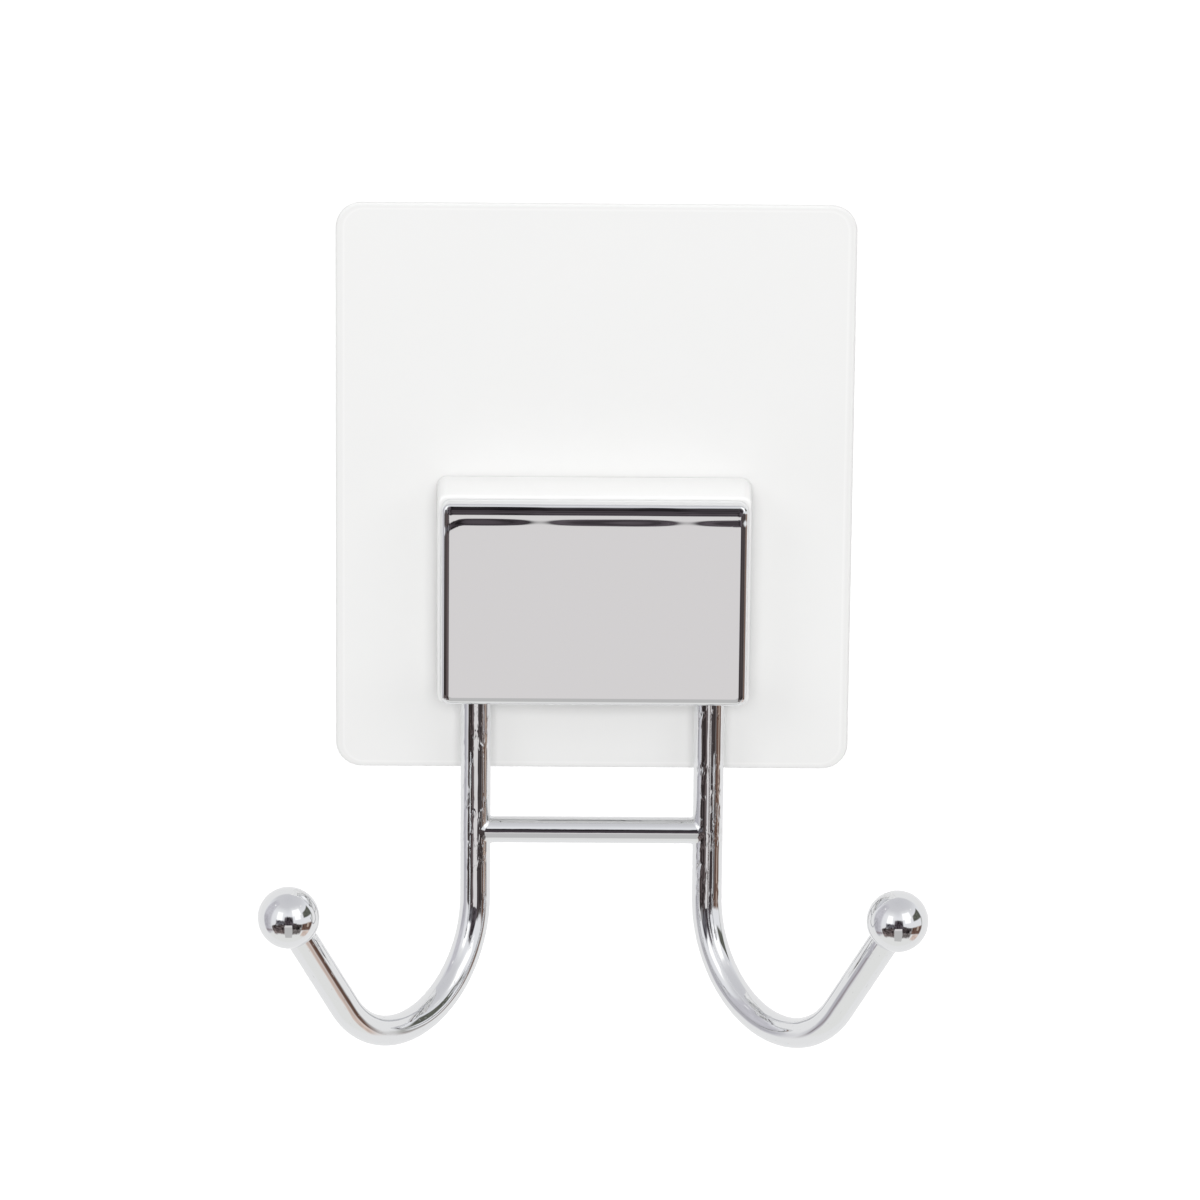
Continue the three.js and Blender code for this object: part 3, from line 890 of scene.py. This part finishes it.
# Distances outside the pad's edge at which the rim begins, and the painted highlight line begins and ends.
RIM_STEP = (-0.12, 0.1)
HIGHLIGHT_STEP_IN = (-0.6, -0.35)
HIGHLIGHT_STEP_OUT = (-0.3, -0.1)
EASED_ANGLE = math.radians(20)
EASED_STEPS = 3


def ease_edges(made, width):
    """Small chamfers on all sharp edges, as a mould leaves them."""
    shape = bmesh.new()
    shape.from_mesh(made.data)
    edges = [e for e in shape.edges if e.calc_face_angle(0) > EASED_ANGLE]
    bmesh.ops.bevel(shape, geom=edges, offset=width * MM, segments=EASED_STEPS, profile=0.5, affect="EDGES")
    shape.to_mesh(made.data)
    shape.free()


def pad_edge_distance(bench, spot):
    """Distance in millimetres outside the pad's rounded outline, below zero inside it."""
    x, _, up = bench.parts(spot)
    over_x = bench.math("ABSOLUTE", x) * (1 / MM) - (PAD_SIZE[0] / 2 - PAD_CORNER)
    over_up = bench.math("ABSOLUTE", up) * (1 / MM) - (PAD_SIZE[1] / 2 - PAD_CORNER)
    out_x, out_up = bench.math("MAXIMUM", over_x, 0.0), bench.math("MAXIMUM", over_up, 0.0)
    beyond = bench.math("SQRT", out_x * out_x + out_up * out_up)
    within = bench.math("MINIMUM", bench.math("MAXIMUM", over_x, over_up), 0.0)
    return beyond + within - PAD_CORNER


def milky_sheet():
    """Milky plastic, a little darker beyond the pad, with a painted highlight as a pale line along the pad's
    edge.
    """
    material, bench = new_finish("milky_sheet")
    spot = bench.object_place()
    edge = pad_edge_distance(bench, spot)
    rim = edge.rise(*RIM_STEP)
    # The pale line along the pad's edge is a painted highlight.
    line = edge.rise(*HIGHLIGHT_STEP_IN) * (1 - edge.rise(*HIGHLIGHT_STEP_OUT))
    cloud = bench.noise(spot, 38, 3)
    fine = bench.noise(spot, 1500, 3, 0.6)
    sheet = bench.blend(cloud * 0.35, MILKY, MILKY_RIM)
    sheet = bench.blend(line * 0.4, sheet, MILKY_HIGHLIGHT)
    bench.surface({
        "Base Color": bench.blend(rim * 0.8, sheet, MILKY_RIM),
        "Roughness": 0.36 + cloud * 0.08 + fine * 0.05,
        "IOR": 1.49,
        "Normal": bench.bump(fine, 0.00002, 0.2),
    })
    return material


plate = moulded_block("plate_moulding", PLATE_SIZE, PLATE_CORNER, (0, 0), PLATE_BACK, PLATE_FRONT,
                      0.0, BACK_ROUND, PLATE_ROUND)
root = (PLATE_BACK + PLATE_FRONT) / 2
rail = tongue("rail", RAIL_HEAD, RAIL_TOP, RAIL_END, RAIL_CHAMFER, RAIL_UNDERSIDE, RAIL_FRONT)
ease_edges(rail, RAIL_EDGE)
neck = tongue("neck", RAIL_NECK, RAIL_TOP - RAIL_CHAMFER, RAIL_END + RAIL_EDGE, RAIL_CHAMFER, root,
              (RAIL_UNDERSIDE + RAIL_FRONT) / 2)
work(plate, "UNION", neck, rail)
plate.data.materials.append(milky_sheet())
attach(plate, "wall_plate")
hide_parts("back_plate")

# Adhesive pad: a sheet of clear, tacky gel cut a little smaller than the plate and bonded to its back. It
# holds the plate to a smooth wall, and shows tiny trapped bubbles.
PAD_BACK = 0.0
PAD_FRONT = 0.8
PAD_ROUND = 0.12
GEL_DIM = (0.78, 0.79, 0.78, 1)
GEL_PALE = (0.86, 0.865, 0.855, 1)
BUBBLE_TONE = (0.95, 0.955, 0.95, 1)


def tacky_gel():
    """Clear gel with slow flow marks and scattered bubbles."""
    material, bench = new_finish("tacky_gel")
    spot = bench.object_place()
    cells = bench.node("ShaderNodeTexVoronoi", {"feature": "F1"}, {"Vector": spot, "Scale": 620.0},
                       "Distance")
    some = bench.noise(spot, 240, 2).rise(0.5, 0.62)
    bubble = (1 - cells.rise(0.1, 0.24)) * some
    flow = bench.noise(spot, 70, 4, 0.6)
    gel = bench.blend(flow, GEL_DIM, GEL_PALE)
    bench.surface({
        "Base Color": bench.blend(bubble * 0.7, gel, BUBBLE_TONE),
        "Roughness": 0.16 + flow * 0.16 + bubble * 0.1,
        "IOR": 1.45,
        "Normal": bench.bump(flow * 0.6 - bubble * 0.5, 0.00008, 0.5),
    })
    return material


pad = moulded_block("adhesive_gel", PAD_SIZE, PAD_CORNER, (0, 0), PAD_BACK, PAD_FRONT,
                    0.0, PAD_ROUND, PAD_ROUND)
pad.data.materials.append(tacky_gel())
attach(pad, "wall_plate")
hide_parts("adhesive_pad")

# Studio: a pale, faintly lit floor well below the hook, a white surround, three soft boxes around the camera,
# and a dim zone with a grey card in front, which the chrome mirrors. The camera looks down a little.
FLOOR_UP = -0.32
FLOOR_HALF = 6.0
FLOOR_TONES = ((0.95, 0.95, 0.95, 1), (0.97, 0.97, 0.97, 1))
FLOOR_GLOW = 0.22
# Soft boxes: bearing, height, distance, width, tallness, power.
SOFT_BOXES = (
    (-33, 24, 1.25, 0.45, 0.50, 1.6),
    (36, 24, 1.25, 0.60, 0.60, 1.6),
    (0, 15, 1.25, 0.45, 0.30, 7.0),
)
CAMERA_SIDE = math.radians(-0.69)
CAMERA_RISE = math.radians(15)
CAMERA_AWAY = 1.1
CAMERA_ROLL = math.radians(0.55)
CAMERA_LENS = 199.13
CAMERA_SENSOR = 36.0
CAMERA_NEAR = 0.01
CAMERA_AIM = (0.00109, -0.00488, -0.01822)
# Tones of the room from straight down to straight up.
ROOM_TONES = (
    (0.0, (0.885, 0.89, 0.87, 1)),
    (0.28, (0.885, 0.885, 0.87, 1)),
    (0.5, (0.90, 0.905, 0.93, 1)),
    (0.667, (0.90, 0.905, 0.935, 1)),
    (0.733, (0.80, 0.805, 0.83, 1)),
    (0.806, (0.71, 0.71, 0.735, 1)),
    (1.0, (0.66, 0.66, 0.69, 1)),
)
# Patches of the room: bearing of the middle, half width, spread per degree of height, lowest and highest
# edge, lean of the upper edge, softness, colour, unevenness of the colour, cover.
ROOM_PATCHES = (
    (-85, 19, 0, -38, 60, 0, 5, (0.60, 0.59, 0.635), 0.1, 0.9),
    (-88, 10, 0, -38, 8, 0, 6, (0.49, 0.48, 0.52), 0.1, 0.9),
    (-84, 20, 0, -34, -28, 0, 2, (0.30, 0.25, 0.26), 0.3, 0.7),
    (-37, 24, 0, -45, -22, 0.1, 4, (0.21, 0.17, 0.165), 0.5, 1.0),
    (-39, 24, 0, -33, -6, 0.38, 2.5, (0.10, 0.08, 0.08), 0.9, 1.0),
    (-31, 14, 0, -9, 4, 0, 2.5, (0.13, 0.125, 0.14), 0.7, 1.0),
    (-41, 4, 0, -14, -8, 0, 2, (0.38, 0.38, 0.39), 0.3, 0.8),
    (34, 19, 0, -47, -20, 0, 4, (0.20, 0.18, 0.175), 0.5, 1.0),
    (33, 19, 0, -28, -8, -0.25, 2.5, (0.06, 0.05, 0.05), 0.9, 1.0),
    (50, 4, 0, -29, -22, 0, 2, (0.40, 0.39, 0.38), 0.3, 0.8),
    (82, 20, 0, -52, -34, 0, 4, (0.68, 0.50, 0.42), 0.2, 0.8),
    (77, 24, 0, -33, -11, 0, 2.5, (0.15, 0.09, 0.07), 0.4, 1.0),
    (79, 5, 0, -23, -10, 0, 2, (0.56, 0.45, 0.38), 0.3, 0.9),
    (81, 20, 0, 8, 30, 0.25, 2.5, (0.125, 0.13, 0.11), 0.3, 1.0),
    (100, 2.5, 0, -14, 9, 0, 2, (0.28, 0.28, 0.25), 0.2, 0.9),
    (2, 19, -0.1, -18, 19, 0, 3, (0.066, 0.056, 0.064), 0.9, 1.0),
    (1.5, 20, -0.13, -63, -12.0, 0, 1, (0.585, 0.58, 0.575), 0.0, 1.0),
    (1.5, 13.5, 0, -19, -12.0, 0, 1, (0.808, 0.783, 0.78), 0.0, 1.0),
    (-33, 18, 0, 14, 42, 0, 12, (1.0, 1.0, 1.0), 0.0, 0.7),
    (-33, 11, 0, 7, 34, 0, 3, (1.35, 1.35, 1.35), 0.0, 1.0),
    (36, 24, 0, 20, 50, 0, 12, (1.0, 1.0, 1.0), 0.0, 0.7),
    (36, 18, 0, 21, 44, 0, 3.5, (1.35, 1.35, 1.35), 0.0, 1.0),
    (38, 11, 0, 7, 24, 0, 3, (1.35, 1.35, 1.35), 0.0, 1.0),
    (-78, 4, 0, 45, 48, 0, 2, (1.2, 1.2, 1.18), 0.0, 0.9),
    (75, 5, 0, 45, 48, 0, 2, (1.1, 1.08, 1.06), 0.0, 0.8),
)
SWEEP_TONE = (0.92, 0.92, 0.92, 1)
WHITE = (1.0, 1.0, 1.0, 1)
SWEEP_EDGE = (-0.28, -0.14)
UNEVEN_STEP = (0.3, 0.7)
RAGGED_FROM = 0.4
RAGGED_REACH = 14
# Light of the white tent: even all round, from straight above, from below, from both sides and from behind.
TENT_EVEN = 0.30
TENT_ABOVE = 4.2
TENT_BELOW = 0.65
TENT_ASIDE = 0.3
TENT_BEHIND = 0.7
ABOVE_FOCUS = 20.0
ASIDE_FOCUS = 4.0
DEGREES = 180 / math.pi


def pale_floor():
    """Pale matt board with a faint glow of its own."""
    material, bench = new_finish("pale_floor")
    cloud = bench.noise(bench.object_place(), 3, 3)
    tone = bench.blend(cloud, *FLOOR_TONES)
    bench.surface({
        "Base Color": tone,
        "Roughness": 0.75 + cloud * 0.1,
        "Emission Color": tone,
        "Emission Strength": FLOOR_GLOW,
    })
    return material


floor_mesh = bpy.data.meshes.new("floor")
floor_mesh.from_pydata([(x * FLOOR_HALF, y * FLOOR_HALF, FLOOR_UP) for x, y in
                        ((-1, -1), (1, -1), (1, 1), (-1, 1))], [], [(0, 1, 2, 3)])
floor = add_object("floor", floor_mesh)
floor_mesh.materials.append(pale_floor())
floor.visible_glossy = False
floor.visible_diffuse = False
floor.visible_shadow = False


def room_patch(bench, bearing, height, middle, half, spread, low, high, lean, soft):
    """1 inside a soft-edged patch of the room and 0 outside it."""
    aside = bench.math("ABSOLUTE", bearing - middle) - (height - low) * spread - half
    over = height - (bearing - middle) * lean - high
    return (1 - aside.rise(-soft, soft)) * (1 - over.rise(-soft, soft)) * height.rise(low - soft, low + soft)


def mirrored_room(bench, ray, x, y, up):
    """What the chrome mirrors: a bright sweep behind the hook, and a dim room in front."""
    bearing = bench.math("ARCTAN2", x, -y) * DEGREES
    height = bench.math("ARCSINE", up) * DEGREES
    uneven = bench.noise(ray, 9, 3, 0.6)
    ragged = height + (bench.noise(ray, 5.5, 4, 0.6) - 0.5) * RAGGED_REACH
    tone = bench.node("ShaderNodeValToRGB", {"stops": ROOM_TONES}, {"Fac": height / 180 + 0.5})
    for *patch, colour, unevenness, cover in ROOM_PATCHES:
        dark = tuple(c * (1 - unevenness) for c in colour) + (1,)
        pale = tuple(c * (1 + unevenness) for c in colour) + (1,)
        shade = bench.blend(uneven.rise(*UNEVEN_STEP), dark, pale) if unevenness else pale
        level = ragged if unevenness > RAGGED_FROM else height
        tone = bench.blend(room_patch(bench, bearing, level, *patch) * cover, tone, shade)
    facing = up * math.sin(CAMERA_RISE) - y * math.cos(CAMERA_RISE)
    return bench.blend(facing.rise(*SWEEP_EDGE), SWEEP_TONE, tone)


def soft_light(bench, x, y, up):
    """The light of a white tent, brighter straight above, below, at the sides and behind."""
    above = bench.math("POWER", bench.math("MAXIMUM", up, 0.0), ABOVE_FOCUS) * TENT_ABOVE
    below = bench.math("MAXIMUM", -up, 0.0) * TENT_BELOW
    aside = bench.math("POWER", bench.math("ABSOLUTE", x), ASIDE_FOCUS) * TENT_ASIDE
    behind = bench.math("MAXIMUM", y, 0.0) * TENT_BEHIND
    light = TENT_EVEN + above + below + aside + behind
    return bench.node("ShaderNodeCombineColor", {}, {0: light, 1: light, 2: light})


def surround():
    """The tent's light, the room that the chrome mirrors, and the white behind the hook."""
    world = bpy.data.worlds.new("studio_surround")
    world.use_nodes = True
    bench = Bench(world.node_tree)
    ray = bench.node("ShaderNodeTexCoord", {}, {}, "Generated")
    x, y, up = bench.parts(ray)
    mirrored, seen = bench.node("ShaderNodeLightPath", {}, {}, ("Is Glossy Ray", "Is Camera Ray"))
    shader = bench.node("ShaderNodeBackground", {}, {"Color": soft_light(bench, x, y, up)})
    for share, light in ((mirrored, mirrored_room(bench, ray, x, y, up)), (seen, WHITE)):
        other = bench.node("ShaderNodeBackground", {}, {"Color": light})
        shader = bench.node("ShaderNodeMixShader", {}, {0: share, 1: shader, 2: other})
    bench.node("ShaderNodeOutputWorld", {}, {"Surface": shader})
    return world


def toward(bearing, rise, away):
    """A point seen from the hook at a bearing to the right of the camera's side and a height, in degrees."""
    bearing, rise = math.radians(bearing), math.radians(rise)
    flat = away * math.cos(rise)
    return Vector((flat * math.sin(bearing), -flat * math.cos(bearing), away * math.sin(rise)))


scene = bpy.context.scene
scene.world = surround()
aim = Vector(CAMERA_AIM)
for number, (bearing, rise, away, width, tall, power) in enumerate(SOFT_BOXES):
    lamp = bpy.data.lights.new(f"soft_box_{number}", "AREA")
    lamp.shape = "RECTANGLE"
    lamp.size = width
    lamp.size_y = tall
    lamp.energy = power
    box = bpy.data.objects.new(f"soft_box_{number}", lamp)
    scene.collection.objects.link(box)
    box.location = aim + toward(bearing, rise, away)
    box.rotation_euler = (aim - box.location).to_track_quat("-Z", "Y").to_euler()
    box.visible_camera = False
    box.visible_glossy = False
lens = bpy.data.cameras.new("camera")
lens.lens = CAMERA_LENS
lens.sensor_width = CAMERA_SENSOR
lens.clip_start = CAMERA_NEAR
camera = bpy.data.objects.new("camera", lens)
scene.collection.objects.link(camera)
camera.location = aim + toward(math.degrees(CAMERA_SIDE), math.degrees(CAMERA_RISE), CAMERA_AWAY)
turn = Matrix.Rotation(CAMERA_SIDE, 4, "Z") @ Matrix.Rotation(math.pi / 2 - CAMERA_RISE, 4, "X")
turn = turn @ Matrix.Rotation(CAMERA_ROLL, 4, "Z")
camera.rotation_euler = turn.to_euler()
scene.camera = camera
scene.view_settings.view_transform = "Standard"
scene.view_settings.look = "None"
